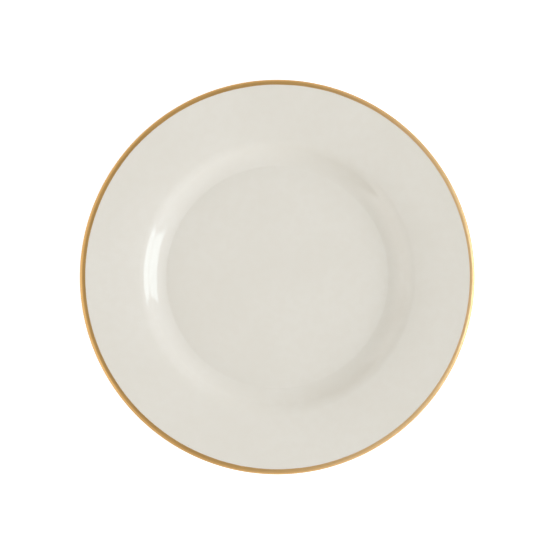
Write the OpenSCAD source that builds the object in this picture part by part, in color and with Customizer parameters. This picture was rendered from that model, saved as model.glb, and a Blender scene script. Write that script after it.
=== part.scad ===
// China dinner plate: a round rimmed plate with a shallow well, a foot ring and a gold line at the lip.
// Dimensions are in millimetres and degrees. The origin is the centre of the foot circle, at the level
// of the surface that the plate stands on, and +Z points up through the well.
// Every piece is a solid of revolution. Its outline is drawn as radius (x) and height (y).

/* [Plate] */
// Overall diameter across the lip
plate_d = 267; // [254:1:300]
// Thickness of the fired body at the floor, the wall and the inner rim
body_t = 4; // [3.4:0.1:4.8]

/* [Well] */
// Diameter of the flat floor
floor_d = 151; // [147:1:154]
// Radius of the tight curve at the edge of the floor
floor_edge_r = 4; // [3:0.5:8]
// Slope at which that curve gives way to the cove
floor_edge_slope = 12; // [8:1:18]
// Radius of the cove, the hollow curve from there up to the wall
cove_r = 26; // [22:1:30]
// Steepest slope of the wall
wall_slope = 40; // [34:1:44]
// Radius of the rounded shoulder between the wall and the rim
shoulder_r = 15.5; // [12:0.5:18]

/* [Rim] */
// Slope of the rim where it leaves the shoulder
rim_in_slope = 12; // [9:0.5:16]
// Slope of the rim at the lip
rim_out_slope = 6.5; // [4:0.5:8]
// Width of the rim's gently domed inner part
dome_w = 16; // [10:1:16]
// Radius of the roll with which the face turns down at the lip
lip_roll_r = 2.8; // [2:0.1:3.6]
// Radius of the lip's nose, the round below that roll
lip_nose_r = 1.2; // [1:0.05:1.4]

/* [Foot] */
// Outer diameter of the foot ring at its root
foot_d = 146; // [136:1:146]
// Width of the foot ring at its root
foot_w = 4.6; // [4:0.1:6]
// Lean of the foot's sides, which makes it narrower at the tip
foot_draft = 8; // [0:1:12]
// Height of the foot ring below the underside of the floor
foot_h = 2.8; // [2.6:0.1:4]
// Height of the bare band at the foot's tip
dry_h = 1; // [0.9:0.1:1.2]

/* [Coatings] */
// Thickness of the glaze
glaze_t = 0.25; // [0.2:0.05:0.35]
// Width of the gold line on the face, seen from above
gold_w = 3.6; // [2.5:0.1:7]
// Thickness of the gold line
gold_t = 0.1; // [0.08:0.01:0.15]

/* [Hidden] */
$fn = 180;

foot_tip_r = 0.8;      // rounding of the foot's tip
foot_fillet_r = 1.2;   // fillet where the foot meets the underside
lip_roll_slope = -35;  // slope at which the lip's roll gives way to its nose
gold_under = 0.5;      // how far the gold goes round the lip, below its widest point
arc_error = 0.02;      // how far an arc's chords may lie inside it
clear = 5;             // how far a cutting shape stands clear of what it cuts

floor_r = floor_d / 2;
plate_r = plate_d / 2;
foot_out_r = foot_d / 2;
foot_in_r = foot_out_r - foot_w;
foot_mid_r = foot_out_r - foot_w / 2;
floor_z = foot_h + body_t;
gold_in_r = plate_r - gold_w;

// A slope is the angle at which a line climbs outward. The normal is turned left from it.
function along(slope) = [cos(slope), sin(slope)];
function normal(slope) = [-sin(slope), cos(slope)];

// The face of the fired body is a chain of tangent curves, each starting at the end of the last.
floor_edge_centre = [floor_r, floor_z + floor_edge_r];
cove_centre = floor_edge_centre + (cove_r - floor_edge_r) * normal(floor_edge_slope);
wall_point = cove_centre - cove_r * normal(wall_slope);
shoulder_centre = wall_point - shoulder_r * normal(wall_slope);
rim_start = shoulder_centre + shoulder_r * normal(rim_in_slope);
dome_r = dome_w / (sin(rim_in_slope) - sin(rim_out_slope));
dome_centre = rim_start - dome_r * normal(rim_in_slope);
dome_end = dome_centre + dome_r * normal(rim_out_slope);

// The straight outer rim touches the lip's roll, and the roll touches its nose.
nose_from_roll = (lip_roll_r - lip_nose_r) * normal(lip_roll_slope);
roll_centre_r = plate_r - gold_t - glaze_t - lip_nose_r - nose_from_roll[0];
rim_len = (roll_centre_r - dome_end[0] - lip_roll_r * sin(rim_out_slope)) / cos(rim_out_slope);
roll_centre = dome_end + rim_len * along(rim_out_slope) - lip_roll_r * normal(rim_out_slope);
nose_centre = roll_centre + nose_from_roll;

// The fillets under the plate touch the foot's sides and the underside, which curves up past the floor.
fillet_reach = floor_edge_r + body_t + foot_fillet_r;
function fillet_centre(centre_r) =
    let (past = max(0, centre_r - floor_r))
    [centre_r, floor_edge_centre[1] - sqrt(pow(fillet_reach, 2) - past * past)];
in_fillet_centre = fillet_centre(foot_in_r - foot_fillet_r);
out_fillet_centre = fillet_centre(foot_out_r + foot_fillet_r);
out_fillet_slope = asin(max(0, out_fillet_centre[0] - floor_r) / fillet_reach);

// How far inside the foot the round of its tip is centred, so that one straight side touches both it and
// the fillet.
function tip_inset(fillet_z) =
    ((fillet_z - foot_tip_r) * sin(foot_draft) + foot_tip_r + foot_fillet_r) / cos(foot_draft);
out_tip_centre = [out_fillet_centre[0] - tip_inset(out_fillet_centre[1]), foot_tip_r];
in_tip_centre = [in_fillet_centre[0] + tip_inset(in_fillet_centre[1]), foot_tip_r];

// Slope of the line from a point to the underside of a circle that it touches.
function tangent_slope(point, centre, r) =
    let (to = centre - point)
    atan2(to[1], to[0]) - asin(r / norm(to));

// Points along an arc of radius r, grown by skin, between two directions from its centre. The first is
// left out where the arc goes on from a point that the outline already has.
function arc(centre, r, skin, from_dir, to_dir, goes_on = false) =
    let (
        turn = to_dir - from_dir,
        steps = ceil(abs(turn) / (2 * acos(1 - arc_error / r)))
    )
    [for (i = [(goes_on ? 1 : 0):steps]) centre + (r + skin) * along(from_dir + turn * i / steps)];

// The face from the middle to the lip, with a coating of thickness skin.
function face_line(skin) = concat(
    [[0, floor_z + skin]],
    arc(floor_edge_centre, floor_edge_r, -skin, -90, floor_edge_slope - 90),
    arc(cove_centre, cove_r, -skin, floor_edge_slope - 90, wall_slope - 90, goes_on = true),
    arc(shoulder_centre, shoulder_r, skin, 90 + wall_slope, 90 + rim_in_slope, goes_on = true),
    arc(dome_centre, dome_r, skin, 90 + rim_in_slope, 90 + rim_out_slope, goes_on = true)
);

// Round the lip and back along the underside to the foot's outer fillet.
function under_line(skin) =
    let (
        rim_under = dome_end - (body_t + skin) * normal(rim_out_slope),
        taper_slope = tangent_slope(rim_under, nose_centre, lip_nose_r + skin)
    )
    concat(
        arc(roll_centre, lip_roll_r, skin, 90 + rim_out_slope, 90 + lip_roll_slope),
        arc(nose_centre, lip_nose_r, skin, 90 + lip_roll_slope, taper_slope - 90, goes_on = true),
        arc(dome_centre, dome_r - body_t, -skin, 90 + rim_out_slope, 90 + rim_in_slope),
        arc(shoulder_centre, shoulder_r - body_t, -skin, 90 + rim_in_slope, 90 + wall_slope,
            goes_on = true),
        arc(cove_centre, cove_r + body_t, skin, wall_slope - 90, floor_edge_slope - 90,
            goes_on = true),
        arc(floor_edge_centre, floor_edge_r + body_t, skin, floor_edge_slope - 90,
            out_fillet_slope - 90, goes_on = true)
    );

// Down the foot's outer side, round its tip and up its inner side to the middle of the recess.
function foot_line(skin) = concat(
    arc(out_fillet_centre, foot_fillet_r, -skin, out_fillet_slope + 90, 180 - foot_draft,
        goes_on = true),
    arc(out_tip_centre, foot_tip_r, skin, -foot_draft, -90),
    arc(in_tip_centre, foot_tip_r, skin, -90, foot_draft - 180),
    arc(in_fillet_centre, foot_fillet_r, -skin, foot_draft, 90),
    [[0, foot_h - skin]]
);

// The plate's outline, with a coating of thickness skin all over the fired body.
module plate_outline(skin) {
    polygon(concat(face_line(skin), under_line(skin), foot_line(skin)));
}

// The glaze's outline, all round the body but for the bare tip of the foot.
module glaze_outline() {
    difference() {
        plate_outline(glaze_t);
        plate_outline(0);
        translate([0, -clear])
            square([plate_r, clear + dry_h]);
    }
}

// The space inside the foot ring and the lower half of the floor above it.
module recess_window() {
    square([foot_mid_r, foot_h + body_t / 2]);
}

// Fired clay body with its foot ring.
module porcelain_body() {
    color([0.93, 0.91, 0.87])
        rotate_extrude()
            plate_outline(0);
}

// Cream glaze over the face, round the lip and down the underside to the foot ring.
module glaze_coat() {
    color([0.875, 0.855, 0.81])
        rotate_extrude()
            difference() {
                glaze_outline();
                recess_window();
            }
}

// Cream glaze under the floor, inside the foot ring.
module foot_recess_glaze() {
    color([0.87, 0.85, 0.8])
        rotate_extrude()
            intersection() {
                glaze_outline();
                recess_window();
            }
}

// Gold line over the glaze, on the last of the face and round the lip.
module gold_rim_line() {
    color([0.78, 0.61, 0.33])
        rotate_extrude()
            intersection() {
                difference() {
                    plate_outline(glaze_t + gold_t);
                    plate_outline(glaze_t);
                }
                translate([gold_in_r, nose_centre[1] - gold_under])
                    square([gold_w + clear, body_t + clear]);
            }
}

porcelain_body();
glaze_coat();
foot_recess_glaze();
gold_rim_line();
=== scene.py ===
"""A cream china dinner plate with a gold line at the lip, built as four lathe-turned solids: the fired
body, the glaze over it, the glaze inside the foot ring and the gold line. Lengths are in metres."""

import math
import random

import bpy
import numpy as np
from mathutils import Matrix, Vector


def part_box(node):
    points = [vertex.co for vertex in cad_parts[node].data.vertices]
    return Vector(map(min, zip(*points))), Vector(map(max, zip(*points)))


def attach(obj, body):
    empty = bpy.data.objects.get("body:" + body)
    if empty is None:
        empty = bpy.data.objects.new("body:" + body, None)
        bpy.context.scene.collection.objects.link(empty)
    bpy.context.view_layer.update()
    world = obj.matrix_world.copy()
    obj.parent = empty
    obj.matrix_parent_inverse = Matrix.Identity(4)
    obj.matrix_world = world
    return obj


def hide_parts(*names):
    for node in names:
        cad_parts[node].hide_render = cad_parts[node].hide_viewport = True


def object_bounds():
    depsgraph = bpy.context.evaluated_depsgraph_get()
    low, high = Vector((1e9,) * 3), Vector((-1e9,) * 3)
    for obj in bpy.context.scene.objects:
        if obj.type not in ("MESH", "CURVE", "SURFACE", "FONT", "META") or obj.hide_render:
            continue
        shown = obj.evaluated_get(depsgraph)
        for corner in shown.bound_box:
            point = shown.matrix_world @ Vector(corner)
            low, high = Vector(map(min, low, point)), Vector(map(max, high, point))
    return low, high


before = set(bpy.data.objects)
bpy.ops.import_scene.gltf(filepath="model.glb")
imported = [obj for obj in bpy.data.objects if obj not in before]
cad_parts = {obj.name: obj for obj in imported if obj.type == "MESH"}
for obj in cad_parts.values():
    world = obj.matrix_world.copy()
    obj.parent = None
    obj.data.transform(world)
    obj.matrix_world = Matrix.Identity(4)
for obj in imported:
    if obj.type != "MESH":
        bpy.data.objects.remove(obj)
cad_low, cad_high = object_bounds()

MM = 0.001
BODY = "root"

# Sizes that the frame gives.
PLATE_R = cad_high.x
DRY_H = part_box("foot_recess_glaze")[0].z
FOOT_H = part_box("foot_recess_glaze")[1].z

# Sizes that are the same as the CAD source's. Slopes are in degrees.
BODY_T = 4.0 * MM
FLOOR_R = 75.5 * MM
WELL_EDGE_R = 4.0 * MM
WELL_EDGE_SLOPE = 12.0
COVE_R = 26.0 * MM
WALL_SLOPE = 40.0
SHOULDER_R = 15.5 * MM
RIM_IN_SLOPE = 12.0
RIM_OUT_SLOPE = 6.5
DOME_W = 16.0 * MM
LIP_ROLL_R = 2.8 * MM
LIP_ROLL_SLOPE = -35.0
LIP_NOSE_R = 1.2 * MM
FOOT_OUT_R = 73.0 * MM
FOOT_W = 4.6 * MM
FOOT_DRAFT = 8.0
FOOT_TIP_R = 0.8 * MM
FOOT_FILLET_R = 1.2 * MM
GLAZE_T = 0.25 * MM
GOLD_W = 3.6 * MM
GOLD_T = 0.1 * MM
GOLD_UNDER = 0.5 * MM

# How finely the outlines are drawn and turned. Turns are in degrees.
SEGMENTS = 360
ANGLES = np.arange(SEGMENTS) * 2 * math.pi / SEGMENTS
FINE_TURN = 1.8
TIGHT_TURN = 9.0
HIDDEN_TURN = 3 * FINE_TURN
HIDDEN_TIGHT_TURN = 2 * TIGHT_TURN
GOLD_PAST_ROLL = 8.0
BEAD_STEPS = 6
STRIDE = 3.0 * MM
END_STRIDE = 0.3 * STRIDE
END_SHARE = 0.25
SAME_POINT = 1e-7
ON_AXIS = 1e-9
SHARP_ANGLE = 40.0

# Irregularities of a hand-finished plate, and the side towards which the gold is painted paler, a painted
# sheen. Directions round the plate are in radians from +X.
SEED = 11
WARP = 0.10 * MM
OVAL_TOWARDS = 0.7
TRIANGLE_TOWARDS = 2.1
TRIANGLE_SHARE = 0.5
SAG = 0.05 * MM
LOWEST_WAVE = 2
HIGHEST_WAVE = 40
WAVE_SIZES = (0.5, 1.0)
WAVE_FIT = 1.2
GLAZE_WANDER = 0.12 * MM
GOLD_WANDER = 0.05 * MM
GOLD_OFF_CENTRE = 0.24 * MM
GOLD_OFF_TOWARDS = 0.4
# The gold is painted paler towards this direction, a painted sheen, and darker away from it, a painted
# shade.
GOLD_PAINTED_SHEEN_TOWARDS = -0.2


def along(slope):
    """Unit vector that climbs outward at a slope in degrees."""
    return np.array([math.cos(math.radians(slope)), math.sin(math.radians(slope))])


def normal(slope):
    """Unit vector turned left from along()."""
    return np.array([-math.sin(math.radians(slope)), math.cos(math.radians(slope))])


# The face is a chain of tangent curves, as in the CAD source.
FLOOR_Z = FOOT_H + BODY_T
EDGE = np.array([FLOOR_R, FLOOR_Z + WELL_EDGE_R])
COVE = EDGE + (COVE_R - WELL_EDGE_R) * normal(WELL_EDGE_SLOPE)
WALL_POINT = COVE - COVE_R * normal(WALL_SLOPE)
SHOULDER = WALL_POINT - SHOULDER_R * normal(WALL_SLOPE)
RIM_START = SHOULDER + SHOULDER_R * normal(RIM_IN_SLOPE)
DOME_R = DOME_W / (along(RIM_IN_SLOPE)[1] - along(RIM_OUT_SLOPE)[1])
DOME = RIM_START - DOME_R * normal(RIM_IN_SLOPE)
DOME_END = DOME + DOME_R * normal(RIM_OUT_SLOPE)
NOSE_FROM_ROLL = (LIP_ROLL_R - LIP_NOSE_R) * normal(LIP_ROLL_SLOPE)
ROLL_AT_R = PLATE_R - GOLD_T - GLAZE_T - LIP_NOSE_R - NOSE_FROM_ROLL[0]
RIM_ACROSS = ROLL_AT_R - DOME_END[0] - LIP_ROLL_R * along(RIM_OUT_SLOPE)[1]
RIM_LEN = RIM_ACROSS / along(RIM_OUT_SLOPE)[0]
ROLL = DOME_END + RIM_LEN * along(RIM_OUT_SLOPE) - LIP_ROLL_R * normal(RIM_OUT_SLOPE)
NOSE = ROLL + NOSE_FROM_ROLL

# The fillets under the plate touch the foot's sides and the underside.
FILLET_REACH = WELL_EDGE_R + BODY_T + FOOT_FILLET_R


def fillet_centre(centre_r):
    """Centre of a fillet that touches the underside of the floor or of the cove."""
    past = max(0.0, centre_r - FLOOR_R)
    return np.array([centre_r, EDGE[1] - math.sqrt(FILLET_REACH ** 2 - past ** 2)])


def tip_inset(fillet_z):
    """How far inside the foot the round of its tip is centred."""
    lean = math.radians(FOOT_DRAFT)
    rise = (fillet_z - FOOT_TIP_R) * math.sin(lean)
    return (rise + FOOT_TIP_R + FOOT_FILLET_R) / math.cos(lean)


FOOT_IN_R = FOOT_OUT_R - FOOT_W
IN_FILLET = fillet_centre(FOOT_IN_R - FOOT_FILLET_R)
OUT_FILLET = fillet_centre(FOOT_OUT_R + FOOT_FILLET_R)
OUT_FILLET_SLOPE = math.degrees(math.asin(max(0.0, OUT_FILLET[0] - FLOOR_R) / FILLET_REACH))
OUT_TIP = np.array([OUT_FILLET[0] - tip_inset(OUT_FILLET[1]), FOOT_TIP_R])
IN_TIP = np.array([IN_FILLET[0] + tip_inset(IN_FILLET[1]), FOOT_TIP_R])


def arc(centre, radius, start, end, turn):
    """Points on an arc between two directions in degrees, at most turn degrees apart."""
    steps = max(1, math.ceil(abs(end - start) / turn))
    return [centre + radius * along(start + (end - start) * i / steps) for i in range(steps + 1)]


def line(start, end):
    """Points on a straight stretch, closer together near its ends so that its shading stays straight."""
    length = np.linalg.norm(end - start)
    steps = max(1, math.ceil(length / STRIDE))
    near = min(END_SHARE, END_STRIDE / max(length, STRIDE))
    shares = sorted({i / steps for i in range(steps + 1)} | {near, 1 - near})
    return [start + (end - start) * s for s in shares]


def joined(*runs):
    """One path from several, without the points where they meet twice."""
    path = []
    for point in [p for run in runs for p in run]:
        if not path or np.linalg.norm(point - path[-1]) > SAME_POINT:
            path.append(point)
    return path


def face_path(skin, turn=FINE_TURN):
    """The face from the middle out to where the lip's round begins, with a coat of thickness skin."""
    middle = np.array([0.0, FLOOR_Z + skin])
    edge = arc(EDGE, WELL_EDGE_R - skin, -90, WELL_EDGE_SLOPE - 90, turn)
    cove = arc(COVE, COVE_R - skin, WELL_EDGE_SLOPE - 90, WALL_SLOPE - 90, turn)
    shoulder = arc(SHOULDER, SHOULDER_R + skin, 90 + WALL_SLOPE, 90 + RIM_IN_SLOPE, turn)
    dome = arc(DOME, DOME_R + skin, 90 + RIM_IN_SLOPE, 90 + RIM_OUT_SLOPE, turn)
    lip_start = ROLL + (LIP_ROLL_R + skin) * normal(RIM_OUT_SLOPE)
    return joined(line(middle, edge[0]), edge, cove, shoulder, dome, line(dome[-1], lip_start))


def taper_slope(skin):
    """Slope of the underside between the lip's round and the inner rim."""
    rim_under = DOME_END - (BODY_T + skin) * normal(RIM_OUT_SLOPE)
    to = NOSE - rim_under
    round_off = math.asin((LIP_NOSE_R + skin) / np.linalg.norm(to))
    return math.degrees(math.atan2(to[1], to[0]) - round_off)


def under_path(skin, turn=FINE_TURN, tight=TIGHT_TURN):
    """Round the lip and back under the plate to the foot's outer fillet."""
    roll = arc(ROLL, LIP_ROLL_R + skin, 90 + RIM_OUT_SLOPE, 90 + LIP_ROLL_SLOPE, tight / 2)
    nose = arc(NOSE, LIP_NOSE_R + skin, 90 + LIP_ROLL_SLOPE, taper_slope(skin) - 90, tight)
    dome = arc(DOME, DOME_R - BODY_T - skin, 90 + RIM_OUT_SLOPE, 90 + RIM_IN_SLOPE, turn)
    shoulder = arc(SHOULDER, SHOULDER_R - BODY_T - skin, 90 + RIM_IN_SLOPE, 90 + WALL_SLOPE, 2 * turn)
    cove = arc(COVE, COVE_R + BODY_T + skin, WALL_SLOPE - 90, WELL_EDGE_SLOPE - 90, turn)
    edge = arc(EDGE, WELL_EDGE_R + BODY_T + skin, WELL_EDGE_SLOPE - 90, OUT_FILLET_SLOPE - 90, turn)
    fillet = arc(OUT_FILLET, FOOT_FILLET_R - skin, OUT_FILLET_SLOPE + 90, 180 - FOOT_DRAFT, tight)
    return joined(roll, nose, line(nose[-1], dome[0]), dome, shoulder, cove, edge, fillet)


def recess_path(skin, tight=TIGHT_TURN):
    """From the inner fillet of the foot to the middle of the recess."""
    fillet = arc(IN_FILLET, FOOT_FILLET_R - skin, FOOT_DRAFT, 90, tight)
    return joined(fillet, line(fillet[-1], np.array([0.0, FOOT_H - skin])))


def tip_path():
    """The bare tip of the foot, from its outer side to its inner side."""
    outer = arc(OUT_TIP, FOOT_TIP_R, -FOOT_DRAFT, -90, TIGHT_TURN)
    inner = arc(IN_TIP, FOOT_TIP_R, -90, FOOT_DRAFT - 180, TIGHT_TURN)
    return joined(outer, line(outer[-1], inner[0]), inner)


def bead(at, out, onward, thick):
    """A coat's rounded end: from its outer side at a point on the bare surface, round to that surface.
    Out is the surface's normal and onward is the direction in which the coat ends."""
    middle = at + out * thick / 2
    turns = [math.radians(90 - 180 * i / BEAD_STEPS) for i in range(BEAD_STEPS + 1)]
    return [middle + thick / 2 * (math.sin(t) * out + math.cos(t) * onward) for t in turns]


def on_foot_side(tip, side):
    """The point of the foot's bare side at the glaze's lower edge, the way out and the way down.
    Side is 1 for the outer side and -1 for the inner side."""
    lean = math.radians(FOOT_DRAFT)
    out = np.array([side * math.cos(lean), -math.sin(lean)])
    down = np.array([-side * math.sin(lean), -math.cos(lean)])
    start = tip + FOOT_TIP_R * out
    return start + down * (DRY_H - start[1]) / down[1], out, down


def moved(first, count, way, far):
    """Moves for some points of an outline, one after another: which way, and how far at each angle."""
    return {i: (way, far) for i in range(first, first + count)}


def body_outline():
    """The fired body, from the middle of the face round to the middle of the recess."""
    return joined(face_path(0.0), under_path(0.0), tip_path(), recess_path(0.0)), {}


def glaze_outline(edge):
    """The glaze over the face, round the lip and down to the foot's outer side, where its edge wanders."""
    at, out, down = on_foot_side(OUT_TIP, 1)
    outer = joined(face_path(GLAZE_T), under_path(GLAZE_T))
    inner = joined(face_path(0.0, HIDDEN_TURN), under_path(0.0, HIDDEN_TURN, HIDDEN_TIGHT_TURN))
    end = bead(at, out, down, GLAZE_T)
    return outer + end + inner[::-1], moved(len(outer), len(end), down, edge)


def recess_outline(edge):
    """The glaze inside the foot ring, whose edge wanders."""
    at, out, down = on_foot_side(IN_TIP, -1)
    inner = recess_path(0.0, HIDDEN_TIGHT_TURN)[::-1]
    end = bead(at, out, down, GLAZE_T)[::-1]
    return inner + end + recess_path(GLAZE_T), moved(len(inner), len(end), down, edge)


def lip_path(skin, end_dir):
    """Round the lip, from just past where its roll begins to just before a direction on its nose."""
    roll_start = 90 + RIM_OUT_SLOPE - GOLD_PAST_ROLL
    roll = arc(ROLL, LIP_ROLL_R + skin, roll_start, 90 + LIP_ROLL_SLOPE, TIGHT_TURN / 2)
    nose = arc(NOSE, LIP_NOSE_R + skin, 90 + LIP_ROLL_SLOPE, end_dir + TIGHT_TURN, TIGHT_TURN)
    return joined(roll, nose)


def gold_outline(inner_edge, lower_edge):
    """The gold line from the last of the face round the lip, whose two edges wander."""
    slope = along(RIM_OUT_SLOPE)
    away = normal(RIM_OUT_SLOPE)
    on_rim = ROLL + (LIP_ROLL_R + GLAZE_T) * away
    start = on_rim - slope * (on_rim[0] - (PLATE_R - GOLD_W)) / slope[0]
    end_dir = -math.degrees(math.asin(GOLD_UNDER / (LIP_NOSE_R + GLAZE_T)))
    low_out = along(end_dir)
    low_down = -normal(end_dir)
    inner_bead = bead(start, away, -slope, GOLD_T)[::-1]
    lower_bead = bead(NOSE + (LIP_NOSE_R + GLAZE_T) * low_out, low_out, low_down, GOLD_T)
    face = lip_path(GLAZE_T + GOLD_T, end_dir)
    path = inner_bead + face + lower_bead + lip_path(GLAZE_T, end_dir)[::-1]
    moves = moved(0, len(inner_bead), slope, inner_edge)
    moves.update(moved(len(inner_bead) + len(face), len(lower_bead), low_down, lower_edge))
    return path, moves


def wander(rng):
    """A seeded periodic curve round the plate, between about -1 and 1."""
    waves = [(n, rng.uniform(0, 2 * math.pi), rng.uniform(*WAVE_SIZES))
             for n in range(LOWEST_WAVE, HIGHEST_WAVE)]
    total = sum(size for _, _, size in waves) ** 0.5 * WAVE_FIT
    return sum(size * np.cos(n * ANGLES + phase) for n, phase, size in waves) / total


def smooth_share(x):
    """0 below 0, 1 above 1, and smooth in between."""
    t = np.clip(x, 0.0, 1.0)
    return t * t * (3 - 2 * t)


def settle(points):
    """The slight warp of the rim and sag of the floor from firing, the same for every coat."""
    r = np.hypot(points[:, 0], points[:, 1])
    a = np.arctan2(points[:, 1], points[:, 0])
    out = smooth_share((r - FOOT_OUT_R) / (PLATE_R - FOOT_OUT_R))
    inside = smooth_share(1 - r / FOOT_IN_R)
    oval = np.cos(2 * a + OVAL_TOWARDS)
    triangle = np.cos(3 * a + TRIANGLE_TOWARDS)
    points[:, 2] += WARP * out * (oval + TRIANGLE_SHARE * triangle)
    points[:, 2] -= SAG * inside
    return points


def lathe_rings(path, moves):
    """Every point of an outline turned into a ring of vertices, or into one on the axis."""
    rings = []
    vertices = []
    for i, (r, z) in enumerate(path):
        first = len(vertices)
        if r < ON_AXIS:
            rings.append([first] * SEGMENTS)
            vertices.append((0.0, 0.0, z))
            continue
        way, far = moves.get(i, (np.zeros(2), np.zeros(SEGMENTS)))
        radii = r + way[0] * far
        rings.append(list(range(first, first + SEGMENTS)))
        vertices += list(zip(radii * np.cos(ANGLES), radii * np.sin(ANGLES), z + way[1] * far))
    return vertices, rings


def lathe_faces(pairs):
    """Faces between each pair of rings, triangles where one of them is a point on the axis."""
    faces = []
    for a, b in pairs:
        for s in range(SEGMENTS):
            t = (s + 1) % SEGMENTS
            corners = [a[s], b[s], b[t], a[t]]
            face = [c for k, c in enumerate(corners) if c != corners[k - 1]]
            if len(face) > 2:
                faces.append(face)
    return faces


def turn_on_lathe(name, outline):
    """A closed solid of revolution from an outline of radius and height. Its moves give, for some of
    the points, a direction and how far to go that way at each angle."""
    path, moves = outline
    vertices, rings = lathe_rings(path, moves)
    pairs = list(zip(rings, rings[1:]))
    if path[0][0] > ON_AXIS:
        pairs.append((rings[-1], rings[0]))
    mesh = bpy.data.meshes.new(name)
    mesh.from_pydata(settle(np.array(vertices)), [], lathe_faces(pairs))
    mesh.validate()
    mesh.shade_smooth()
    mesh.set_sharp_from_angle(angle=math.radians(SHARP_ANGLE))
    mesh.update()
    piece = bpy.data.objects.new(name, mesh)
    bpy.context.scene.collection.objects.link(piece)
    return piece


class Nodes:
    """The node tree of a material or a world, with short ways to add to it. Place is the coordinate
    that its textures follow."""

    def __init__(self, owner, place):
        owner.use_nodes = True
        self.tree = owner.node_tree
        self.place = self.add("ShaderNodeTexCoord").outputs[place]

    def add(self, kind):
        return self.tree.nodes.new(kind)

    def feed(self, socket, value):
        """Give a socket a number, a colour or another node's output."""
        if isinstance(value, (int, float)):
            socket.default_value = value
        elif isinstance(value, tuple):
            socket.default_value = (*value, 1.0)
        else:
            self.tree.links.new(value, socket)

    def noise(self, scale, detail, rough=0.5, vector=None):
        """Noise whose features are about 1/scale metres across."""
        node = self.add("ShaderNodeTexNoise")
        self.feed(node.inputs["Scale"], scale)
        self.feed(node.inputs["Detail"], detail)
        self.feed(node.inputs["Roughness"], rough)
        self.feed(node.inputs["Vector"], vector or self.place)
        return node.outputs["Fac"]

    def dots(self, scale, inner, outer):
        """Scattered dots, 1 inside the inner radius and 0 outside the outer, and a random number each."""
        node = self.add("ShaderNodeTexVoronoi")
        self.feed(node.inputs["Scale"], scale)
        self.feed(node.inputs["Vector"], self.place)
        own = self.add("ShaderNodeSeparateColor")
        self.feed(own.inputs[0], node.outputs["Color"])
        return self.spread(node.outputs["Distance"], inner, outer, 1.0, 0.0), own.outputs[0]

    def spread(self, source, low, high, to_low=0.0, to_high=1.0):
        """Source between low and high, stretched to the other range and held inside it."""
        node = self.add("ShaderNodeMapRange")
        node.interpolation_type = "SMOOTHSTEP"
        names = ("Value", "From Min", "From Max", "To Min", "To Max")
        for name, value in zip(names, (source, low, high, to_low, to_high)):
            self.feed(node.inputs[name], value)
        return node.outputs["Result"]

    def math(self, operation, *values):
        node = self.add("ShaderNodeMath")
        node.operation = operation
        for socket, value in zip(node.inputs, values):
            self.feed(socket, value)
        return node.outputs[0]

    def times(self, a, b):
        return self.math("MULTIPLY", a, b)

    def plus(self, a, b):
        return self.math("ADD", a, b)

    def blend(self, share, a, b, kind="RGBA"):
        """Colour or number a turned into b by share."""
        node = self.add("ShaderNodeMix")
        node.data_type = kind
        sockets = [s for s in node.inputs if s.enabled]
        for socket, value in zip(sockets, (share, a, b)):
            self.feed(socket, value)
        return [s for s in node.outputs if s.enabled][0]

    def bump(self, height, depth, before=None):
        """Relief of so many metres where height is 1."""
        node = self.add("ShaderNodeBump")
        self.feed(node.inputs["Strength"], 1.0)
        self.feed(node.inputs["Distance"], depth)
        self.feed(node.inputs["Height"], height)
        if before is not None:
            self.feed(node.inputs["Normal"], before)
        return node.outputs["Normal"]

    def xyz(self):
        """The sockets of place's x, y and z."""
        node = self.add("ShaderNodeSeparateXYZ")
        self.feed(node.inputs[0], self.place)
        return node.outputs

    def vector(self, *values):
        node = self.add("ShaderNodeCombineXYZ")
        for socket, value in zip(node.inputs, values):
            self.feed(socket, value)
        return node.outputs[0]


def new_material(name):
    """A new material, its nodes and its shader's inputs."""
    material = bpy.data.materials.new(name)
    n = Nodes(material, "Object")
    return material, n, n.tree.nodes["Principled BSDF"].inputs


# Noise is mostly between the first two, whatever its scale.
NOISE_RANGE = (0.3, 0.7)
NOISE_MIDDLE = (0.35, 0.65)
NOISE_UPPER = (0.35, 0.7)

# Each noise is its scale per metre, its detail and, for some, its roughness.
CLOUDS = (22, 3)
FINE_CLOUDS = (160, 3)
SMEARS = (9, 4, 0.6)
RIPPLE = (95, 2)
PEEL = (420, 2)
CLAY_GRAIN = (1400, 4, 0.65)
RUBBED_PATCHES = (60, 4)
GOLD_STREAKS = (1.0, 3, 0.6)
GOLD_PATCHES = (70, 3)
GOLD_WEAR = (900, 4, 0.7)

CREAM = (0.816, 0.783, 0.710)
CREAM_LIGHT = (0.830, 0.799, 0.729)
CREAM_WARM = (0.805, 0.765, 0.686)
SPECK = (0.33, 0.25, 0.17)
WARM_SHARE = 0.35
SPECK_SHARE = 0.55
DOT_SCALE = 150
DOT_RADII = (0.018, 0.034)
SPECK_ABOVE = 0.965
PINHOLE_BELOW = 0.03
RIPPLE_DEPTH = 9e-6
PEEL_DEPTH = 1.2e-6
PINHOLE_DEPTH = 6e-5
GLAZE_ROUGHNESS = (0.06, 0.11)
GLAZE_IOR = 1.52


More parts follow.
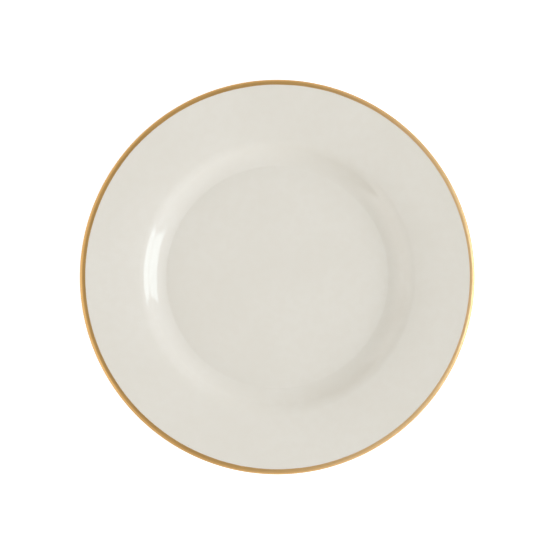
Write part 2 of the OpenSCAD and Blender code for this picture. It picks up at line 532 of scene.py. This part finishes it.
def glaze_material():
    """Glossy cream glaze: faint mottling, a few iron specks and pinholes, and a slow ripple."""
    material, n, shader = new_material("cream_glaze")
    clouds = n.spread(n.noise(*CLOUDS), *NOISE_MIDDLE)
    fine = n.spread(n.noise(*FINE_CLOUDS), *NOISE_MIDDLE)
    colour = n.blend(clouds, CREAM, CREAM_LIGHT)
    colour = n.blend(n.times(fine, WARM_SHARE), colour, CREAM_WARM)
    dots, pick = n.dots(DOT_SCALE, *DOT_RADII)
    specks = n.times(dots, n.math("GREATER_THAN", pick, SPECK_ABOVE))
    pinholes = n.times(dots, n.math("LESS_THAN", pick, PINHOLE_BELOW))
    n.feed(shader["Base Color"], n.blend(n.times(specks, SPECK_SHARE), colour, SPECK))
    n.feed(shader["Roughness"], n.spread(n.noise(*SMEARS), *NOISE_RANGE, *GLAZE_ROUGHNESS))
    ripple = n.bump(n.noise(*RIPPLE), RIPPLE_DEPTH)
    peel = n.bump(n.noise(*PEEL), PEEL_DEPTH, ripple)
    n.feed(shader["Normal"], n.bump(n.math("SUBTRACT", 1.0, pinholes), PINHOLE_DEPTH, peel))
    shader["IOR"].default_value = GLAZE_IOR
    return material


CLAY_DARK = (0.74, 0.70, 0.62)
CLAY_LIGHT = (0.80, 0.77, 0.71)
CLAY_RUBBED = (0.50, 0.485, 0.46)
RUBBED_SHARE = 0.55
RUBBED_H = 0.35 * MM
CLAY_ROUGHNESS = (0.62, 0.8)
CLAY_DEPTH = 1.2e-5


def porcelain_material():
    """Matt fired clay, fine-grained, with grey rubbing where the foot stands."""
    material, n, shader = new_material("bare_porcelain")
    grain = n.spread(n.noise(*CLAY_GRAIN), *NOISE_RANGE)
    patches = n.spread(n.noise(*RUBBED_PATCHES), *NOISE_UPPER)
    colour = n.blend(grain, CLAY_DARK, CLAY_LIGHT)
    rubbed = n.times(n.spread(n.xyz()["Z"], 0.0, RUBBED_H, 1.0, 0.0), patches)
    n.feed(shader["Base Color"], n.blend(n.times(rubbed, RUBBED_SHARE), colour, CLAY_RUBBED))
    n.feed(shader["Roughness"], n.spread(grain, 0.0, 1.0, *CLAY_ROUGHNESS))
    n.feed(shader["Normal"], n.bump(grain, CLAY_DEPTH))
    return material


# Gold colour painted darker on one side of the plate, a painted shade, and paler on the other, a painted
# sheen: lit and shaded copies of one gold.
GOLD_PAINTED_SHADE = ((0.58, 0.345, 0.125), (0.66, 0.405, 0.16))
GOLD_PAINTED_SHEEN = ((0.90, 0.61, 0.32), (0.96, 0.67, 0.37))
DULL_GOLD = (0.62, 0.38, 0.13)
DULL_SHARE = 0.25
PAINTED_SHEEN_SPREAD = (-0.3, 0.95)
STREAKS_ROUND = 9.0
STREAKS_ACROSS = 3500.0
WORN_ABOVE = (0.70, 0.76)
GOLD_ROUGHNESS = 0.38
STREAK_ROUGHNESS = 0.12
PATCH_ROUGHNESS = 0.08
GOLD_DEPTH = 4e-6


def gold_material():
    """Fired bright gold, brushed on while the plate turned: streaks along the line, with dull patches and
    worn spots.
    Its colour is painted paler towards one side of the plate, a painted sheen, and darker away from it, a
    painted shade."""
    material, n, shader = new_material("fired_gold")
    x, y, z = n.xyz()
    r = n.math("SQRT", n.plus(n.times(x, x), n.times(y, y)))
    round_x = n.math("DIVIDE", x, r)
    round_y = n.math("DIVIDE", y, r)
    stretched = n.vector(n.times(round_x, STREAKS_ROUND), n.times(round_y, STREAKS_ROUND),
                         n.times(n.plus(r, z), STREAKS_ACROSS))
    streaks = n.spread(n.noise(*GOLD_STREAKS, vector=stretched), *NOISE_RANGE)
    patches = n.spread(n.noise(*GOLD_PATCHES), *NOISE_RANGE)
    towards = n.plus(n.times(round_x, math.cos(GOLD_PAINTED_SHEEN_TOWARDS)),
                     n.times(round_y, math.sin(GOLD_PAINTED_SHEEN_TOWARDS)))
    # Share of painted sheen: the gold is painted paler towards one side and darker away from it, as painted
    # shade.
    painted_sheen = n.spread(towards, *PAINTED_SHEEN_SPREAD)
    colour = n.blend(painted_sheen, n.blend(streaks, *GOLD_PAINTED_SHADE), n.blend(streaks, *GOLD_PAINTED_SHEEN))
    colour = n.blend(n.times(patches, DULL_SHARE), colour, DULL_GOLD)
    worn = n.spread(n.noise(*GOLD_WEAR), *WORN_ABOVE)
    n.feed(shader["Base Color"], n.blend(worn, colour, CREAM))
    n.feed(shader["Metallic"], n.math("SUBTRACT", 1.0, worn))
    rougher = n.plus(n.times(streaks, STREAK_ROUGHNESS), n.times(patches, PATCH_ROUGHNESS))
    n.feed(shader["Roughness"], n.plus(rougher, GOLD_ROUGHNESS))
    n.feed(shader["Normal"], n.bump(n.math("SUBTRACT", streaks, worn), GOLD_DEPTH))
    return material


def build_plate():
    """The four solids, each in place of its CAD node."""
    rng = random.Random(SEED)
    glaze = glaze_material()
    porcelain = porcelain_material()
    gold = gold_material()
    outer_edge = GLAZE_WANDER * wander(rng)
    recess_edge = GLAZE_WANDER * wander(rng)
    gold_edge = GOLD_WANDER * wander(rng) + GOLD_OFF_CENTRE * np.cos(ANGLES - GOLD_OFF_TOWARDS)
    gold_low = 2 * GOLD_WANDER * wander(rng)
    plan = (
        ("fired_body", body_outline(), porcelain, "porcelain_body", "bare_porcelain"),
        ("face_and_rim_glaze", glaze_outline(outer_edge), glaze, "glaze_coat", "cream_glaze"),
        ("recess_glaze", recess_outline(recess_edge), glaze, "foot_recess_glaze", "cream_glaze"),
        ("gold_line", gold_outline(gold_edge, gold_low), gold, "gold_rim_line", "fired_gold"),
    )
    for name, outline, material, node, slot in plan:
        piece = turn_on_lathe(name, outline)
        piece.data.materials.append(material)
        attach(piece, BODY)
        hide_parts(node)


TABLE_HALF = 12.0
TABLE_DROP = 0.05 * MM
TABLE_COLOUR = (0.92, 0.92, 0.92, 1.0)
TABLE_ROUGHNESS = 0.9
TABLE_GLOW = 0.55


def table_material():
    """Matt and pale, with a glow that is seen and reflected but doesn't light the plate."""
    material, n, shader = new_material("pale_table")
    shader["Base Color"].default_value = TABLE_COLOUR
    shader["Roughness"].default_value = TABLE_ROUGHNESS
    shader["Specular IOR Level"].default_value = 0.0
    shader["Emission Color"].default_value = (1.0, 1.0, 1.0, 1.0)
    rays = n.add("ShaderNodeLightPath").outputs
    seen = n.math("MAXIMUM", rays["Is Camera Ray"], rays["Is Glossy Ray"])
    n.feed(shader["Emission Strength"], n.times(seen, TABLE_GLOW))
    return material


def build_floor():
    """A plain pale light table, just below the foot."""
    mesh = bpy.data.meshes.new("floor")
    sides = ((-1, -1), (1, -1), (1, 1), (-1, 1))
    mesh.from_pydata([(x * TABLE_HALF, y * TABLE_HALF, 0.0) for x, y in sides], [], [(0, 1, 2, 3)])
    floor = bpy.data.objects.new("floor", mesh)
    floor.location.z = -TABLE_DROP
    bpy.context.scene.collection.objects.link(floor)
    mesh.materials.append(table_material())


OVERHEAD = 0.475
AHEAD = 1.08
LEFT = 0.10
WORLD_TINT = (1.02, 1.0, 0.95)
BACKDROP = 0.80
BACKDROP_TOP = 0.12
BACKDROP_FADE = 0.20


def build_world():
    """Soft light from all round: a ceiling, brighter walls ahead and behind, and a dimmer one on the
    left. A low pale backdrop all round is seen and reflected but doesn't light the plate."""
    world = bpy.data.worlds.new("studio")
    bpy.context.scene.world = world
    n = Nodes(world, "Generated")
    x, y, z = n.xyz()
    up = n.math("MAXIMUM", z, 0.0)
    left = n.math("MINIMUM", x, 0.0)
    light = 0.0
    for way, size in ((up, OVERHEAD), (y, AHEAD), (left, LEFT)):
        light = n.plus(light, n.times(n.times(way, way), size))
    low = n.spread(z, BACKDROP_TOP, BACKDROP_FADE, BACKDROP, 0.0)
    rays = n.add("ShaderNodeLightPath").outputs
    reflected = n.math("MAXIMUM", light, n.times(low, rays["Is Glossy Ray"]))
    background = n.tree.nodes["Background"].inputs
    n.feed(background["Strength"], n.blend(rays["Is Camera Ray"], reflected, BACKDROP, "FLOAT"))
    n.feed(background["Color"], WORLD_TINT)


LIGHT_AWAY = 2.4
WHITE = (1.0, 1.0, 1.0)
COOL = (0.82, 1.0, 1.05)
PINKISH = (1.05, 0.98, 1.08)
KEY_AZIMUTH = -5.3


def softbox(name, azimuth, polar, wide, tall, radiance, colour=WHITE):
    """A rectangular light that faces the plate. Azimuth is from +X towards +Y and polar from straight up."""
    data = bpy.data.lights.new(name, "AREA")
    data.shape = "RECTANGLE"
    data.size = tall
    data.size_y = wide
    data.energy = radiance * math.pi * wide * tall
    data.color = colour
    light = bpy.data.objects.new(name, data)
    bpy.context.scene.collection.objects.link(light)
    a = math.radians(azimuth)
    p = math.radians(polar)
    across = LIGHT_AWAY * math.sin(p)
    light.location = (across * math.cos(a), across * math.sin(a), LIGHT_AWAY * math.cos(p))
    light.rotation_euler = (0.0, p, a)
    light.visible_camera = False
    return light


def build_lights():
    """The key light on the right in two panes with a softer spill round them, a dim fill on the left, and
    two sheens for the gold."""
    softbox("key", azimuth=KEY_AZIMUTH, polar=58.5, wide=1.14, tall=1.02, radiance=3.9, colour=COOL)
    softbox("key_low", azimuth=KEY_AZIMUTH, polar=76.2, wide=1.02, tall=0.50, radiance=2.4, colour=COOL)
    spill = softbox("key_spill", azimuth=KEY_AZIMUTH, polar=70.0, wide=1.8, tall=1.65, radiance=3.0,
                    colour=PINKISH)
    spill.visible_glossy = False
    softbox("fill_high", azimuth=180.0, polar=44.5, wide=3.6, tall=0.63, radiance=0.5)
    softbox("fill_low", azimuth=180.0, polar=67.0, wide=3.6, tall=1.33, radiance=1.2)
    sheen_left = softbox("sheen_left", azimuth=196.0, polar=55.0, wide=2.0, tall=2.0, radiance=0.6)
    sheen_left.visible_diffuse = False
    sheen_right = softbox("sheen_right", azimuth=0.0, polar=40.0, wide=4.0, tall=1.2, radiance=0.35)
    sheen_right.visible_diffuse = False


LENS = 105.0
SENSOR = 36.0
VIEW_W = 375.3 * MM
CAMERA_X = 0.19 * MM
CAMERA_Y = -0.27 * MM


def build_camera():
    """Straight above the plate, so high that it sees a view of width VIEW_W at the lip."""
    data = bpy.data.cameras.new("camera")
    data.lens = LENS
    data.sensor_width = SENSOR
    camera = bpy.data.objects.new("camera", data)
    camera.location = (CAMERA_X, CAMERA_Y, NOSE[1] + LENS / SENSOR * VIEW_W)
    bpy.context.scene.collection.objects.link(camera)
    bpy.context.scene.camera = camera


build_plate()
build_floor()
build_world()
build_lights()
build_camera()
bpy.context.scene.view_settings.view_transform = "Standard"
